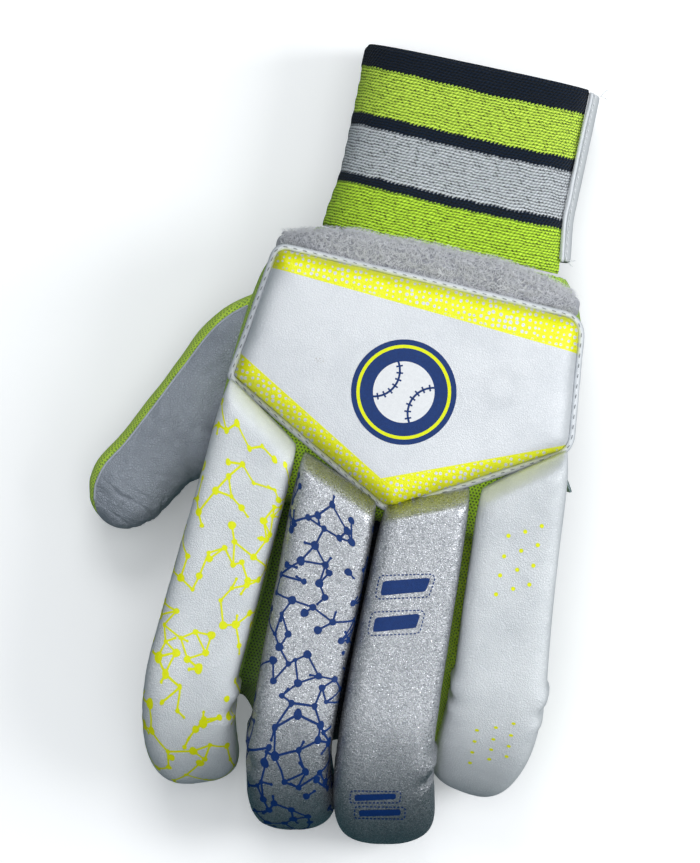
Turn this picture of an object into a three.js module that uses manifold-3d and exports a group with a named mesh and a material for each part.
// Cricket batting glove for a left hand, lying palm down. Millimetres and degrees.
// +Z is up, from the palm to the back of the hand, +Y runs from the fingertips to the
// wristband, and the thumb is on the -X side. The origin is under the middle of the glove.
//
// Two sewn halves make the hollow glove: a leather palm below and a mesh back above, each
// with its share of the four finger stalls. Foam pads lie on the back and on each finger, and
// a knitted wristband with a wrap-round strap closes the wrist.
import * as THREE from "three";
import { mergeVertices } from "three/addons/utils/BufferGeometryUtils.js";
import Module from "manifold-3d";

const { Vector3 } = THREE;
const wasm = await Module();
wasm.setup();

// Driving sizes

const SEAM = 0.3; // clearance left between two pieces that are sewn or laid together
const WALL = 2; // palm leather, and the mesh of the back

const HAND = {
  width: 117.5,
  length: 90, // from the wrist seam to the webs between the fingers
  backHeight: 48.5, // of the back of the hand above the ground, at the knuckles
  seamHeight: 11, // of the leather's edge above the bottom of the palm
  wristY: 62, // the seam to the wristband
  knuckleAside: 1.2, // from the middle towards the thumb
};

const FINGER = {
  padPitch: 0.25447 * HAND.width, // from one finger's middle to the next, at the knuckles
  padGap: 0.9, // between neighbouring pads
  padLength: 125.7, // of the longest, along its underside
  padThickness: 15.5,
  padSkirt: 5, // how far a pad reaches down beside its stall
  padOverhang: 1.5, // of a pad's side beyond its stall's
  seamDrop: 1.5, // how far the leather's edge lies lower on a stall than on the hand
  stallHeight: 19,
  stallShort: 7, // how far a stall ends before its pad does
  stallInHand: 16, // how far a stall runs back into the hand
  bendSpan: 42, // length of finger over which it bends
  creaseDepth: 1.5, // bulge of the pad's leather where the finger bends
};

const PAD_WIDTH = FINGER.padPitch - FINGER.padGap;
const STALL_WIDTH = PAD_WIDTH - 2 * FINGER.padOverhang;

const BACK_PAD = {
  width: HAND.width,
  length: 80.5,
  thickness: 14,
  camber: 3.5, // how far the sides lie below the middle
  edge: 6, // width of the rounded edge
  corner: 8, // radius of its roundest corners
  foot: 9, // its sides reach this far below the back, to be cut by what they lie on
  topY: 53,
  aside: 1.5, // from the middle towards the thumb
  bindingWidth: 2,
  bindingHeight: 3.4,
};

const CUFF = {
  width: 78.5,
  height: 40,
  wall: 3,
  flare: 4.5, // extra width at the wrist seam
  centreX: 1.5,
  hemLength: 7.5,
  hemExtra: 0.6, // the turned hem is this much thicker
  endY: 125,
  slitAngle: -58, // where the knit ends under the wrist, round the cuff from +X
  edgeAngle: 21, // where the knit ends on the back of the wrist
};

const STRAP = {
  length: 57,
  wall: 1.8,
  overlap: 4, // degrees of knit that the strap is sewn over
  endAngle: -122, // where its free end is fastened under the wrist
  restAngle: 5, // half of the flat that the wrist rests on
  endY: 124,
};

const FLEECE = {
  width: 13,
  height: 11,
  span: 0.86 * HAND.width,
  middleY: 56,
  droop: 9, // its ends hang this far down the sides
  sweep: 3.5, // and lie this far nearer the fingers
};

const THUMB = {
  length: 90, // straight from its root inside the hand to its tip
  rootX: -0.3575 * HAND.width,
  rootY: 28,
  height: 25,
  middleZ: 18.5,
  outerHalf: 14.5,
  innerHalf: 14,
  seamTilt: -36, // of the seam between leather and mesh, about the thumb's length
};

const GUARD = { width: 20, thickness: 6, skirt: 4 };

const TAB = {
  length: 9,
  width: 3,
  thickness: 1.4,
  lean: 28,
  pitch: 14,
  inset: 3, // of its root from the back pad's corner
  below: 9, // its root lies this far below the back of the hand
  startY: -0.5,
};

// Fingers, from the thumb's side. Turns are degrees.
// root: knuckle below the back pad's top edge, as a share of its length.  rise: knuckle above
// HAND.backHeight, as a share of FINGER.padThickness.  length: share of FINGER.padLength.
// lean, curl: turn towards +X at the knuckle and at the tip.  dip, hook: pitch below level at
// both.  bendAt: share of the length where it bends most.  slant: of the pad's knuckle end.
// spread: extra width towards the tip, as a share of PAD_WIDTH.  blunt: slant of the tip's end.
// aside: shift of the stall towards +X, as a share of its width.  creaseLeft, creaseRight:
// shares of FINGER.creaseDepth.
const FINGERS = [
  {
    name: "index", root: 0.7578, rise: -0.0387, length: 1, lean: -3.4, curl: 24, dip: 7, hook: 72,
    bendAt: 0.765, slant: -30, spread: -0.0138, blunt: 20, aside: 0.1154,
    creaseLeft: 0, creaseRight: 1,
  },
  {
    name: "middle", root: 0.9503, rise: 0.0387, length: 0.98886, lean: 0.6, curl: 15, dip: 6,
    hook: 71, bendAt: 0.7216, slant: -23, spread: -0.1034, blunt: 16, aside: 0,
    creaseLeft: 0.8, creaseRight: 0,
  },
  {
    name: "ring", root: 0.9565, rise: 0.0387, length: 0.97932, lean: 2.2, curl: 14, dip: 6,
    hook: 71, bendAt: 0.71, slant: 21, spread: 0.0517, blunt: 8, aside: 0.1154,
    creaseLeft: 0, creaseRight: 1,
  },
  {
    name: "little", root: 0.7578, rise: -0.0774, length: 0.87987, lean: 6, curl: -12, dip: 9,
    hook: 71, bendAt: 0.742, slant: 30, spread: 0.0517, blunt: -16, aside: 0.0192,
    creaseLeft: 0.7, creaseRight: 1,
  },
];

// Form of a finger pad. along: share of its length.  width, thickness: shares of the pad's.
// square: exponent of its rounded top, 2 for an ellipse and more for a flatter top.
const PAD_FORM = [
  { along: 0, width: 0.84, thickness: 0.5, square: 4 },
  { along: 0.03, width: 0.94, thickness: 0.86, square: 4.5 },
  { along: 0.075, width: 1, thickness: 1, square: 5.5 },
  { along: 0.3, width: 1.01, thickness: 1, square: 5.5 },
  { along: 0.54, width: 1.03, thickness: 1, square: 5.5 },
  { along: 0.62, width: 1.04, thickness: 1, square: 5 },
  { along: 0.69, width: 1.05, thickness: 1, square: 4.6 },
  { along: 0.76, width: 1.06, thickness: 1, square: 4.2 },
  { along: 0.83, width: 1.05, thickness: 1, square: 3.8 },
  { along: 0.9, width: 1.01, thickness: 0.98, square: 3.3 },
  { along: 0.96, width: 0.91, thickness: 0.91, square: 2.7 },
  { along: 1, width: 0.74, thickness: 0.78, square: 2.4 },
];

// Form of a stall, as shares of its own length beyond the pad's knuckle end, width and height.
const STALL_FORM = [
  { along: 0.2, width: 1, height: 1 },
  { along: 0.42, width: 1, height: 1 },
  { along: 0.58, width: 1, height: 1 },
  { along: 0.67, width: 1, height: 1 },
  { along: 0.76, width: 0.99, height: 0.98 },
  { along: 0.85, width: 0.96, height: 0.95 },
  { along: 0.92, width: 0.89, height: 0.88 },
  { along: 0.97, width: 0.77, height: 0.76 },
  { along: 1, width: 0.6, height: 0.58 },
];

// Form of the hand. along: share of HAND.length from the wrist.  left, right: shares of
// HAND.width from its middle.  bottom: share of HAND.backHeight.  top: how far the back lies
// below its knuckle height, as a share of the same.
const HAND_FORM = [
  { along: 0, left: 0.345, right: 0.375, bottom: 0.05, top: 0.14 },
  { along: 0.1, left: 0.44, right: 0.43, bottom: 0.08, top: 0.08 },
  { along: 0.24, left: 0.485, right: 0.46, bottom: 0.15, top: 0.03 },
  { along: 0.48, left: 0.507, right: 0.478, bottom: 0.3, top: 0 },
  { along: 0.74, left: 0.515, right: 0.485, bottom: 0.45, top: 0 },
  { along: 0.95, left: 0.515, right: 0.49, bottom: 0.55, top: 0 },
  { along: 1, left: 0.49, right: 0.465, bottom: 0.58, top: 0.04 },
];

// Corners of the back pad, clockwise from the thumb's side of the wrist. x: share of its width
// from its middle.  y: share of its length below its top edge.  radius: share of its corner.
const BACK_PAD_CORNERS = [
  { x: -0.445, y: 0, radius: 0.625 },
  { x: 0.462, y: 0.035, radius: 1 },
  { x: 0.508, y: 0.6, radius: 1 },
  { x: 0.025, y: 1.01, radius: 0.875 },
  { x: -0.5, y: 0.595, radius: 0.25 },
];

// Line of the thumb and its form there. out, on: shares of THUMB.length from the root towards
// -X and -Y.  lift: of its middle above THUMB.middleZ, as a share of THUMB.height.  outer,
// inner, height: shares of THUMB's sizes.
const THUMB_LINE = [
  { out: 0, on: 0, lift: 0.24, outer: 1, inner: 1.2, height: 0.95 },
  { out: 0.161, on: 0.117, lift: 0.08, outer: 1.02, inner: 1.6, height: 1 },
  { out: 0.267, on: 0.3, lift: 0, outer: 0.97, inner: 1.6, height: 1 },
  { out: 0.35, on: 0.467, lift: 0, outer: 0.93, inner: 1.3, height: 1 },
  { out: 0.417, on: 0.611, lift: 0, outer: 0.95, inner: 1.05, height: 1 },
  { out: 0.467, on: 0.717, lift: 0, outer: 1.04, inner: 0.96, height: 0.96 },
  { out: 0.5, on: 0.789, lift: 0, outer: 0.93, inner: 0.8, height: 0.84 },
  { out: 0.527, on: 0.844, lift: 0, outer: 0.54, inner: 0.42, height: 0.6 },
];

// Small tools

const rad = THREE.MathUtils.degToRad;
const mix = THREE.MathUtils.lerp;
const smooth = (low, high, x) => THREE.MathUtils.smoothstep(x, low, high);

// A turned frame: origin, side (B), up (N) and direction of travel (T), right-handed.
function frameAt(origin, yaw, pitch) {
  const across = new Vector3(Math.cos(yaw), Math.sin(yaw), 0);
  const along = new Vector3(
    Math.sin(yaw) * Math.cos(pitch),
    -Math.cos(yaw) * Math.cos(pitch),
    -Math.sin(pitch),
  );
  const up = new Vector3().crossVectors(along, across);
  return { origin: origin.clone(), across, up, along };
}

// Puts the points [side, up, forward] of a section into a frame.
function ringIn(frame, section) {
  return section.map(([side, up, forward = 0]) =>
    frame.origin
      .clone()
      .addScaledVector(frame.across, side)
      .addScaledVector(frame.up, up)
      .addScaledVector(frame.along, forward),
  );
}

// Moves a point by a few microns, so that no two faces lie almost in one plane.
function unevenly(point) {
  const wave = (a, b, c) => 0.006 * Math.sin(a * 12.9898 + b * 78.233 + c * 37.719);
  const { x, y, z } = point;
  return new Vector3(x + wave(x, y, z), y + wave(y, z, x), z + wave(z, x, y));
}

// A closed solid through rings of equal size, each seen turning left from its far side.
function loft(rings, section) {
  const count = rings[0].length;
  const points = rings.flat();
  const triangles = [];
  for (let ring = 0; ring < rings.length - 1; ring++) {
    for (let i = 0; i < count; i++) {
      const here = ring * count;
      const next = (i + 1) % count;
      triangles.push([here + i, here + next, here + count + i]);
      triangles.push([here + next, here + count + next, here + count + i]);
    }
  }
  const outline = section.map(([side, up]) => new THREE.Vector2(side, up));
  const last = (rings.length - 1) * count;
  for (const [a, b, c] of THREE.ShapeUtils.triangulateShape(outline, [])) {
    triangles.push([a, c, b]);
    triangles.push([last + a, last + b, last + c]);
  }
  const geometry = new THREE.BufferGeometry().setFromPoints(points.map(unevenly));
  geometry.setIndex(triangles.flat());
  return solidOf(geometry);
}

function solidOf(geometry) {
  const merged = mergeVertices(geometry, 1e-4);
  return new wasm.Manifold(
    new wasm.Mesh({
      numProp: 3,
      vertProperties: merged.attributes.position.array,
      triVerts: new Uint32Array(merged.index.array),
    }),
  );
}

function geometryOf(solid) {
  const mesh = solid.getMesh();
  const positions = new Float32Array(mesh.numVert * 3);
  for (let i = 0; i < mesh.numVert; i++) {
    const start = i * mesh.numProp;
    positions.set(mesh.vertProperties.subarray(start, start + 3), i * 3);
  }
  const geometry = new THREE.BufferGeometry();
  geometry.setAttribute("position", new THREE.BufferAttribute(positions, 3));
  geometry.setIndex(new THREE.BufferAttribute(mesh.triVerts, 1));
  return geometry;
}

const joined = (solids) => solids.reduce((all, solid) => all.add(solid));
const cutBy = (solid, cutters) => cutters.reduce((left, cutter) => left.subtract(cutter), solid);

// The largest of the bodies that a cut leaves, without loose slivers and needless vertices.
function largest(solid) {
  const bodies = solid.decompose();
  const body = bodies.reduce((best, other) => (other.volume() > best.volume() ? other : best));
  return body.asOriginal().simplify(0.02);
}

// A point of a squared oval: square 2 is an ellipse, and more is nearer a box.
function ovalPoint(angle, halfWidth, halfHeight, square) {
  const power = 2 / square;
  const c = Math.cos(angle);
  const s = Math.sin(angle);
  return [
    halfWidth * Math.sign(c) * Math.abs(c) ** power,
    halfHeight * Math.sign(s) * Math.abs(s) ** power,
  ];
}

// A squared oval that may be wider on one side: left and right are its two half widths.
function oval(left, right, halfHeight, square, count) {
  return Array.from({ length: count }, (_, i) => {
    const angle = ((i + 0.5) / count) * 2 * Math.PI;
    return ovalPoint(angle, Math.cos(angle) > 0 ? right : left, halfHeight, square);
  });
}

// Fingers

const knuckleX = (index) =>
  (index - (FINGERS.length - 1) / 2) * FINGER.padPitch - HAND.knuckleAside;
const padLength = (finger) => finger.length * FINGER.padLength;

// The underside of a pad, from the knuckle to the tip, as frames at shares of its length.
// Shares below 0 run straight back into the hand.
function fingerLine(finger, index) {
  const fineSteps = 120;
  const length = padLength(finger);
  const bendShare = FINGER.bendSpan / length / 2;
  const startShare = finger.bendAt - bendShare;
  const turned = (share) => THREE.MathUtils.clamp((share - startShare) / bendShare / 2, 0, 1);
  const yawAt = (share) => rad(mix(finger.lean, finger.curl, turned(share)));
  const pitchAt = (share) => rad(mix(finger.dip, finger.hook, turned(share)));
  const knuckle = new Vector3(
    knuckleX(index),
    BACK_PAD.topY - finger.root * BACK_PAD.length,
    HAND.backHeight + finger.rise * FINGER.padThickness,
  );
  return (share) => {
    let frame = frameAt(knuckle, yawAt(0), pitchAt(0));
    if (share < 0) {
      frame.origin.addScaledVector(frame.along, share * length);
      return frame;
    }
    const steps = Math.ceil(fineSteps * share);
    const point = knuckle.clone();
    for (let i = 0; i < steps; i++) {
      const middle = ((i + 0.5) / steps) * share;
      const along = frameAt(point, yawAt(middle), pitchAt(middle)).along;
      point.addScaledVector(along, (share / steps) * length);
    }
    return frameAt(point, yawAt(share), pitchAt(share));
  };
}

// The section of a pad: a skirt down each side of the stall, and a rounded, flat top.
function padSection(left, right, thickness, square, skirt) {
  const topPoints = 11;
  const section = [
    [-left * 0.93, -skirt],
    [right * 0.93, -skirt],
  ];
  for (let i = 0; i < topPoints; i++) {
    const angle = (i / (topPoints - 1)) * Math.PI;
    section.push(ovalPoint(angle, Math.cos(angle) > 0 ? right : left, thickness, square));
  }
  return section;
}

// The pad before its stall is cut out of it.
function padSolid(finger, line) {
  const slope = Math.tan(rad(finger.slant));
  const blunt = Math.tan(rad(finger.blunt));
  const sections = PAD_FORM.map(({ along, width, thickness, square }) => {
    const half = (PAD_WIDTH / 2) * (width + finger.spread * smooth(0.1, 0.8, along));
    const crease = FINGER.creaseDepth * Math.exp(-(((along - finger.bendAt + 0.06) / 0.035) ** 2));
    const section = padSection(
      half + crease * finger.creaseLeft,
      half + crease * finger.creaseRight,
      FINGER.padThickness * thickness,
      square,
      FINGER.padSkirt,
    );
    const sheared = blunt * smooth(0.8, 1, along) - slope * (1 - smooth(0, 0.3, along));
    return section.map(([side, up]) => [side, up, side * sheared]);
  });
  const rings = sections.map((section, i) => ringIn(line(PAD_FORM[i].along), section));
  return loft(rings, sections[0]);
}

// The stall's outside when grow is 0, its hollow when grow is -WALL, and its clearance when
// grow is SEAM. rise lifts the section's floor to the leather's edge, for the cutters.
function stallFrames(finger, line, grow) {
  const length = padLength(finger);
  const own = (length - FINGER.stallShort) / length;
  const back = { along: -FINGER.stallInHand / length / own, width: 0.84, height: 0.8 };
  return [back, ...STALL_FORM].map(({ along, width, height }, i, all) => {
    const ends = i === 0 ? -grow : (i === all.length - 1) * grow;
    const frame = line(along * own + ends / length);
    const halfHeight = (FINGER.stallHeight * height) / 2;
    const aside = finger.aside * STALL_WIDTH * smooth(0, 0.45, along);
    frame.origin.addScaledVector(frame.across, aside);
    frame.origin.addScaledVector(frame.up, -FINGER.stallHeight / 2);
    return { frame, halfWidth: (STALL_WIDTH * width) / 2 + grow, halfHeight: halfHeight + grow };
  });
}

function stallSolid(finger, line, grow) {
  const frames = stallFrames(finger, line, grow);
  const sections = frames.map((f) => oval(f.halfWidth, f.halfWidth, f.halfHeight, 2.6, 12));
  return loft(
    frames.map((f, i) => ringIn(f.frame, sections[i])),
    sections[0],
  );
}

// Everything below the edge of the finger's leather, a little wider than the stall.
function stallLower(finger, line, lift) {
  const edge = HAND.seamHeight - FINGER.stallHeight / 2 - FINGER.seamDrop + lift;
  const frames = stallFrames(finger, line, WALL + lift);
  const past = new Vector3();
  const sections = frames.map(({ halfWidth, halfHeight }) => [
    [-halfWidth, -halfHeight],
    [halfWidth, -halfHeight],
    [halfWidth, edge],
    [-halfWidth, edge],
  ]);
  const last = frames.at(-1).frame;
  past.copy(last.along).multiplyScalar(2 * WALL);
  const rings = frames.map((f, i) => ringIn(f.frame, sections[i]));
  rings.push(rings.at(-1).map((point) => point.clone().add(past)));
  return loft(rings, sections[0]);
}

// The hand

function handStations() {
  return HAND_FORM.map(({ along, left, right, bottom, top }) => {
    const low = bottom * HAND.backHeight;
    const high = (1 - top) * HAND.backHeight;
    return {
      y: HAND.wristY - along * HAND.length,
      left: left * HAND.width,
      right: right * HAND.width,
      low,
      high,
    };
  });
}

function handFrame(station) {
  const middle = new Vector3(0, station.y, (station.low + station.high) / 2);
  return frameAt(middle, 0, 0);
}

function handSolid(grow) {
  const stations = handStations();
  const sections = stations.map((s) =>
    oval(s.left + grow, s.right + grow, (s.high - s.low) / 2 + grow, 3, 20),
  );
  const rings = stations.map((s, i) => ringIn(handFrame(s), sections[i]));
  const open = 2.5 * WALL; // the hollow runs out past the wrist seam
  const wristEnd = new Vector3(0, grow < 0 ? open : grow, 0);
  const fingerEnd = new Vector3(0, -grow, 0);
  rings[0].forEach((point) => point.add(wristEnd));
  rings.at(-1).forEach((point) => point.add(fingerEnd));
  return loft(rings, sections[0]);
}

// Everything below the palm leather's edge.
function handLower(lift) {
  const past = 3 * WALL;
  const stations = handStations();
  const sections = stations.map((s) => {
    const half = (s.high - s.low) / 2;
    const edge = HAND.seamHeight - half + lift;
    return [
      [-s.left - past, -half - past],
      [s.right + past, -half - past],
      [s.right + past, edge],
      [-s.left - past, edge],
    ];
  });
  const rings = stations.map((s, i) => ringIn(handFrame(s), sections[i]));
  const ends = past + lift;
  rings.unshift(rings[0].map((p) => p.clone().add(new Vector3(0, ends, 0))));
  rings.push(rings.at(-1).map((p) => p.clone().add(new Vector3(0, -ends, 0))));
  return loft(rings, sections[0]);
}

// The thumb

function thumbFrames(grow) {
  return THUMB_LINE.map((at, i) => {
    const before = THUMB_LINE[Math.max(i - 1, 0)];
    const after = THUMB_LINE[Math.min(i + 1, THUMB_LINE.length - 1)];
    const yaw = Math.atan2(before.out - after.out, after.on - before.on);
    const end = i === THUMB_LINE.length - 1 ? grow : 0;
    const middle = new Vector3(
      THUMB.rootX - at.out * THUMB.length,
      THUMB.rootY - at.on * THUMB.length,
      THUMB.middleZ + at.lift * THUMB.height,
    );
    const frame = frameAt(middle, yaw, 0);
    frame.origin.addScaledVector(frame.along, end);
    return {
      frame,
      outer: THUMB.outerHalf * at.outer + grow,
      inner: THUMB.innerHalf * at.inner + grow,
      half: (THUMB.height * at.height) / 2 + grow,
    };
  });
}

function thumbSolid(grow) {
  const frames = thumbFrames(grow);
  const sections = frames.map((f) => oval(f.outer, f.inner, f.half, 2.4, 16));
  return loft(
    frames.map((f, i) => ringIn(f.frame, sections[i])),
    sections[0],
  );
}

// The part of the thumb that the mesh takes: below a tilted line across each section.
function thumbLower(lift) {
  const reach = 2.4 * THUMB.outerHalf;
  const slope = Math.tan(rad(THUMB.seamTilt));
  const section = [
    [-reach, -reach],
    [reach, -reach],
    [reach, slope * reach + lift],
    [-reach, -slope * reach + lift],
  ];
  const frames = thumbFrames(WALL);
  return loft(
    frames.map((f) => ringIn(f.frame, section)),
    section,
  );
}

function thumbGuard() {
  const form = [0.7, 1, 1, 1, 0.86, 0.6];
  const frames = thumbFrames(0).slice(-form.length);
  const parts = frames.map((f, i) => ({ ...f, share: form[i] }));
  const sections = parts.map((f) => {
    const half = (GUARD.width / 2) * f.share;
    const deep = GUARD.thickness * (0.6 + 0.4 * f.share);
    return padSection(half, half, deep, 4, GUARD.skirt).map(([side, up]) => [-side, -up - f.half]);
  });
  return loft(
    parts.map((f, i) => ringIn(f.frame, sections[i])),
    sections[0],
  );
}

// The back pad

// The pad's outline, inset by a distance, as points round its rounded corners.
function backPadOutline(inset) {
  const arcPoints = 4;
  const corners = BACK_PAD_CORNERS.map(({ x, y, radius }) => ({
    at: new THREE.Vector2(x * BACK_PAD.width - BACK_PAD.aside, BACK_PAD.topY - y * BACK_PAD.length),
    radius: radius * BACK_PAD.corner,
  }));
  const outline = [];
  corners.forEach(({ at, radius }, i) => {
    const before = corners.at(i - 1).at;
    const after = corners[(i + 1) % corners.length].at;
    const back = before.clone().sub(at).normalize();
    const on = after.clone().sub(at).normalize();
    const half = Math.acos(back.dot(on)) / 2;
    const bisector = back.clone().add(on).normalize();
    const centre = at.clone().addScaledVector(bisector, radius / Math.sin(half));
    const small = Math.max(radius - inset, 0.4);
    const moved = radius - inset < 0.4 ? (inset + 0.4 - radius) / Math.sin(half) : 0;
    centre.addScaledVector(bisector, moved);
    const start = Math.atan2(-bisector.y, -bisector.x);
    const swing = Math.PI / 2 - half;
    for (let k = 0; k < arcPoints; k++) {
      const angle = start + swing * (1 - (2 * k) / (arcPoints - 1));
      outline.push([centre.x + small * Math.cos(angle), centre.y + small * Math.sin(angle)]);
    }
  });
  return outline.reverse();
}

const backDrop = (x) => BACK_PAD.camber * ((2 * (x + BACK_PAD.aside)) / BACK_PAD.width) ** 2;

// A layered solid on the pad's outline: each layer is [inset, height above the back].
function backPadLayers(layers) {
  const rings = layers.map(([inset, height]) =>
    backPadOutline(inset).map(([x, y]) => new Vector3(x, y, HAND.backHeight + height - backDrop(x))),
  );
  return loft(rings, backPadOutline(layers[0][0]));
}

function backPad() {
  const inset = BACK_PAD.bindingWidth + SEAM;
  const top = BACK_PAD.thickness;
  const edge = BACK_PAD.edge;
  return backPadLayers([
    [inset, -BACK_PAD.foot],
    [inset, BACK_PAD.bindingHeight],
    [inset + 0.1 * edge, mix(BACK_PAD.bindingHeight, top, 0.55)],
    [inset + 0.4 * edge, mix(BACK_PAD.bindingHeight, top, 0.87)],
    [inset + edge, top],
    [inset + 3.5 * edge, 1.057 * top],
  ]);
}

// The pad and its binding with the clearance that their neighbours leave.
function backPadSpace() {
  return backPadLayers([
    [-SEAM, -BACK_PAD.foot],
    [-SEAM, 1.2 * BACK_PAD.thickness],
  ]);
}

function backPadBinding() {
  const { bindingWidth, bindingHeight } = BACK_PAD;
  const outside = backPadLayers([
    [0.15 * bindingWidth, -0.75 * bindingWidth],
    [0, 0.25 * bindingWidth],
    [0, bindingHeight - 0.3 * bindingWidth],
    [0.3 * bindingWidth, bindingHeight],
  ]);
  const inside = backPadLayers([
    [bindingWidth, -BACK_PAD.foot],
    [bindingWidth, 2 * bindingHeight],
  ]);
  return outside.subtract(inside);
}

// The wrist

// The cuff's half sizes at a share of its length from the wrist seam.
function cuffHalf(share) {
  const flare = CUFF.flare * (1 - smooth(0, 0.35, share));
  return { width: (CUFF.width + flare) / 2, height: CUFF.height / 2 };
}

const CUFF_SQUARE = 3; // exponent of its squared oval
const CUFF_LOW = STRAP.wall + SEAM; // the knit lies on the strap, which lies on the ground

const spaced = (from, to, count) =>
  Array.from({ length: count }, (_, i) => mix(from, to, i / (count - 1)));

// The wall of a part of the cuff at some angles, between its inner and outer distances.
function cuffSection(share, angles, inner, outer) {
  const half = cuffHalf(share);
  const points = (grow) =>
    angles.map((angle) =>
      ovalPoint(rad(angle), half.width + grow, half.height + grow, CUFF_SQUARE),
    );
  return [...points(outer), ...points(inner).reverse()];
}

function cuffWall(stations, angles) {
  const length = CUFF.endY - HAND.wristY - SEAM;
  const middleZ = CUFF_LOW + CUFF.height / 2;
  const sections = stations.map(({ share, inner, outer }) =>
    cuffSection(share, angles, inner, outer),
  );
  const rings = stations.map(({ share }, i) => {
    const y = HAND.wristY + SEAM + share * length;
    return ringIn(frameAt(new Vector3(CUFF.centreX, y, middleZ), 0, 0), sections[i]);
  });
  return loft(rings.reverse(), sections[0]);
}

function wristband() {
  const length = CUFF.endY - HAND.wristY - SEAM;
  const hemStart = 1 - CUFF.hemLength / length;
  const inner = -CUFF.wall;
  const stations = [
    { share: 0, inner, outer: 0 },
    { share: 0.15, inner, outer: 0 },
    { share: 0.35, inner, outer: 0 },
    { share: 0.7, inner, outer: 0 },
    { share: hemStart, inner, outer: 0 },
    { share: 1, inner: inner - CUFF.hemExtra, outer: 0 },
  ];
  return cuffWall(stations, spaced(CUFF.edgeAngle, 360 + CUFF.slitAngle, 26));
}

function wristStrap() {
  const length = CUFF.endY - HAND.wristY - SEAM;
  const end = 1 - (CUFF.endY - STRAP.endY) / length;
  const start = end - STRAP.length / length;
  const wall = { inner: SEAM, outer: SEAM + STRAP.wall };
  const stations = [start, mix(start, end, 0.12), mix(start, end, 0.3), end];
  const flat = STRAP.restAngle; // the facet that lies on the ground
  const angles = [
    ...spaced(STRAP.endAngle, -90 - flat, 4),
    ...spaced(-90 + flat, CUFF.edgeAngle + STRAP.overlap, 12),
  ];
  return cuffWall(
    stations.map((share) => ({ share, ...wall })),
    angles,
  );
}

// The soft roll between the wristband and the back pad, before its neighbours are cut out.
function fleeceRoll() {
  const steps = 12;
  const hand = handStations();
  const sections = [];
  const rings = [];
  for (let i = 0; i <= steps; i++) {
    const share = (2 * i) / steps - 1;
    const full = Math.sqrt(1 - 0.72 * share ** 2);
    const x = (FLEECE.span / 2) * share - BACK_PAD.aside;
    const seat = mix(hand[0].high, hand[1].high, 0.6) + FLEECE.height / 11;
    const z = seat - FLEECE.droop * Math.abs(share) ** 5;
    const y = FLEECE.middleY - FLEECE.sweep * share ** 4;
    const section = oval(FLEECE.width / 2, FLEECE.width / 2, (FLEECE.height / 2) * full, 2.3, 12);
    sections.push(section);
    rings.push(section.map(([side, up]) => new Vector3(x, y + side * full, z + up)));
  }
  return loft(rings, sections[0]);
}

function sideTab() {
  const half = TAB.width / 2;
  const section = [
    [-TAB.thickness / 2, -half],
    [TAB.thickness / 2, -half],
    [TAB.thickness / 2, half],
    [-TAB.thickness / 2, half],
  ];
  const corner = BACK_PAD_CORNERS[2].x * BACK_PAD.width - BACK_PAD.aside;
  const start = new Vector3(corner - TAB.inset, TAB.startY, HAND.backHeight - TAB.below);
  const frame = frameAt(start, rad(TAB.lean), rad(TAB.pitch));
  const end = { ...frame, origin: start.clone().addScaledVector(frame.along, TAB.length) };
  return loft([ringIn(frame, section), ringIn(end, section)], section);
}

// Everything together

const palette = {
  whiteLeather: { color: 0xd9dce0, roughness: 0.55, metalness: 0 },
  greyLeather: { color: 0xb4b9c4, roughness: 0.62, metalness: 0 },
  silverLeather: { color: 0xb9bcc2, roughness: 0.38, metalness: 0.75 },
  greenMesh: { color: 0xa6dc1e, roughness: 0.85, metalness: 0 },
  knit: { color: 0xb2e02f, roughness: 0.9, metalness: 0 },
  fleece: { color: 0xaeaeb2, roughness: 0.95, metalness: 0 },
  tape: { color: 0x6c8488, roughness: 0.8, metalness: 0 },
};
const materials = Object.fromEntries(
  Object.entries(palette).map(([name, look]) => [name, new THREE.MeshStandardMaterial(look)]),
);

function addPiece(group, name, solid, material) {
  const mesh = new THREE.Mesh(geometryOf(largest(solid)), material);
  mesh.name = name;
  group.add(mesh);
}

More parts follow.
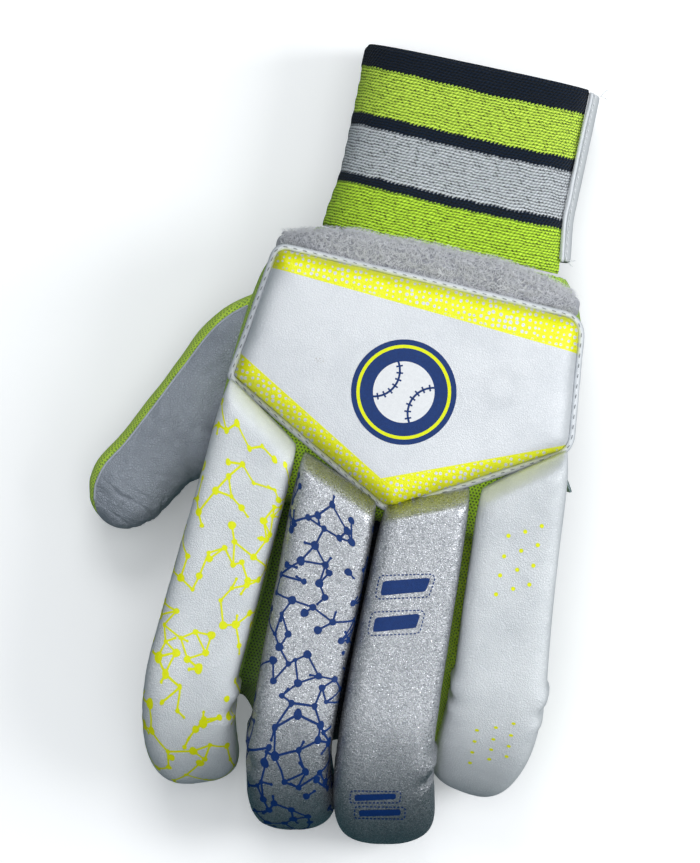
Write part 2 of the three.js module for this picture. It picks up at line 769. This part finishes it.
function buildGlove() {
  const glove = new THREE.Group();
  const hand = new THREE.Group();
  const fingers = new THREE.Group();
  const wrist = new THREE.Group();
  glove.add(hand, fingers, wrist);

  const lines = FINGERS.map((finger, i) => fingerLine(finger, i));
  const stalls = (grow) => FINGERS.map((finger, i) => stallSolid(finger, lines[i], grow));
  const hollow = joined([handSolid(-WALL), ...stalls(-WALL)]);
  const thumbHollow = thumbSolid(-WALL);
  const hollows = [hollow, thumbHollow];
  const lower = (lift) =>
    joined([handLower(lift), ...FINGERS.map((f, i) => stallLower(f, lines[i], lift))]);
  const below = lower(0);
  const belowSeam = lower(SEAM);
  const clearance = joined([handSolid(SEAM), ...stalls(SEAM)]);

  const handSkin = cutBy(handSolid(0), hollows);
  addPiece(hand, "palm", handSkin.intersect(below), materials.greyLeather);
  addPiece(hand, "back_mesh", handSkin.subtract(belowSeam), materials.greenMesh);

  FINGERS.forEach((finger, i) => {
    const stall = cutBy(stallSolid(finger, lines[i], 0), [...hollows, handSolid(SEAM)]);
    addPiece(fingers, finger.name + "_front", stall.intersect(below), materials.greyLeather);
    addPiece(fingers, finger.name + "_back", stall.subtract(belowSeam), materials.greenMesh);
  });

  const thumbSkin = thumbSolid(0).subtract(thumbHollow).subtract(clearance).subtract(hollow);
  addPiece(hand, "thumb_leather", thumbSkin.subtract(thumbLower(SEAM)), materials.greyLeather);
  addPiece(hand, "thumb_mesh", thumbSkin.intersect(thumbLower(0)), materials.greenMesh);
  const guard = cutBy(thumbGuard(), [thumbSolid(SEAM), clearance]);
  addPiece(hand, "thumb_guard", guard, materials.greyLeather);

  const pads = FINGERS.map((finger, i) => padSolid(finger, lines[i]).subtract(clearance));
  FINGERS.forEach((finger, i) => {
    const silver = finger.name === "middle" || finger.name === "ring";
    const material = silver ? materials.silverLeather : materials.whiteLeather;
    addPiece(fingers, finger.name + "_pad", pads[i], material);
  });
  const binding = cutBy(backPadBinding(), [clearance]);
  addPiece(hand, "back_pad", cutBy(backPad(), [clearance]), materials.whiteLeather);
  addPiece(hand, "back_pad_binding", binding, materials.whiteLeather);
  addPiece(hand, "side_tab", cutBy(sideTab(), [clearance]), materials.tape);

  addPiece(wrist, "wristband", wristband(), materials.knit);
  addPiece(wrist, "wrist_strap", wristStrap(), materials.whiteLeather);
  const roll = cutBy(fleeceRoll(), [clearance, backPadSpace()]);
  addPiece(wrist, "fleece_roll", roll, materials.fleece);

  const box = new THREE.Box3().setFromObject(glove);
  const middle = box.getCenter(new Vector3());
  for (const group of glove.children) group.position.set(-middle.x, -middle.y, -box.min.z);
  return glove;
}

export default buildGlove();
